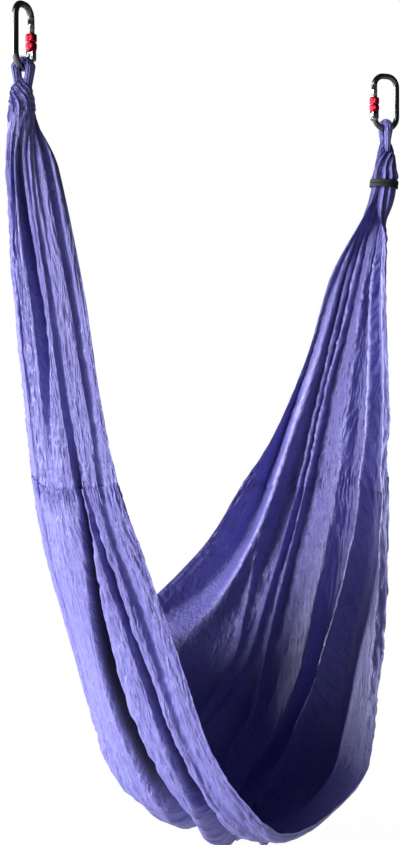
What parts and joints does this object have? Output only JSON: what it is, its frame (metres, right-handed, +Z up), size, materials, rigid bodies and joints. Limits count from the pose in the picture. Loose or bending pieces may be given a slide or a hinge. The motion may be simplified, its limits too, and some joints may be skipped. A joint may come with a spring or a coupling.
{
  "type": "aerial yoga hammock",
  "caption": "Wide crinkled parachute-cloth sling with gathered necks, hung from a screw-lock carabiner at each end, for aerial yoga and fitness.",
  "frame": {"origin": "left hang point, on the inside of the left carabiner's top bow, where its strap or eye bolt bears", "axes": "+X towards the right hang point, +Y from the sling's low near edge to its raised far edge, +Z up"},
  "size_m": [0.8951, 0.5729, 1.3532],
  "materials": {
    "polished_steel": "polished dark steel",
    "bright_steel": "machined bright steel",
    "spring_steel": "drawn wire",
    "red_anodised": "red anodised, knurled",
    "violet_nylon": "crinkled parachute nylon, violet blue",
    "seam_thread": "polyester thread in the cloth's colour",
    "black_elastic": "black woven elastic"
  },
  "bodies": {
    "hangers": {"left_carabiner_body": "polished_steel", "left_hinge_rivet": "bright_steel", "right_carabiner_body": "polished_steel", "right_hinge_rivet": "bright_steel"},
    "sling": {"left_end_panel": "violet_nylon", "seat_panel": "violet_nylon", "right_end_panel": "violet_nylon", "left_seam_thread": "seam_thread", "right_seam_thread": "seam_thread"},
    "neck_band": {"neck_band": "black_elastic"},
    "left_gate": {"left_gate": "bright_steel", "left_latch_pin": "bright_steel", "left_gate_spring": "spring_steel"},
    "left_lock_sleeve": {"left_lock_sleeve": "red_anodised"},
    "left_plunger": {"left_plunger": "bright_steel"},
    "right_gate": {"right_gate": "bright_steel", "right_latch_pin": "bright_steel", "right_gate_spring": "spring_steel"},
    "right_lock_sleeve": {"right_lock_sleeve": "red_anodised"},
    "right_plunger": {"right_plunger": "bright_steel"}
  },
  "joints": [
    {"name": "sling_swing", "type": "hinge", "parent": "hangers", "child": "sling", "pos_m": [0, 0, -0.09225], "axis": [1, 0, 0], "range_deg": [-25, 25]},
    {"name": "neck_band_slide", "type": "slide", "parent": "sling", "child": "neck_band", "axis": [0.0836, -0.0669, 0.9943], "range_m": [0, 0.025]},
    {"name": "left_gate_hinge", "type": "hinge", "parent": "hangers", "child": "left_gate", "pos_m": [0.02202, 0.0089, -0.07275], "axis": [0.3746, -0.9272, 0], "range_deg": [0, 25], "stiffness_Nm_per_rad": 0.15, "springref_deg": -20.05},
    {"name": "left_sleeve_screw", "type": "slide", "parent": "left_gate", "child": "left_lock_sleeve", "axis": [0, 0, 1], "range_m": [0, 0.023]},
    {"name": "left_plunger_slide", "type": "slide", "parent": "left_gate", "child": "left_plunger", "axis": [0, 0, 1], "range_m": [0, 0.00115], "deforming": ["left_gate_spring"]},
    {"name": "right_gate_hinge", "type": "hinge", "parent": "hangers", "child": "right_gate", "pos_m": [0.81741, 0.00734, -0.07275], "axis": [0.309, 0.9511, 0], "range_deg": [0, 25], "stiffness_Nm_per_rad": 0.15, "springref_deg": -20.05},
    {"name": "right_sleeve_screw", "type": "slide", "parent": "right_gate", "child": "right_lock_sleeve", "axis": [0, 0, 1], "range_m": [0, 0.023]},
    {"name": "right_plunger_slide", "type": "slide", "parent": "right_gate", "child": "right_plunger", "axis": [0, 0, 1], "range_m": [0, 0.00115], "deforming": ["right_gate_spring"]}
  ],
  "couplings": [
    {"joint": "left_plunger_slide", "follows": "left_gate_hinge", "m_per_rad": 0.002521},
    {"joint": "right_plunger_slide", "follows": "right_gate_hinge", "m_per_rad": 0.002521}
  ]
}
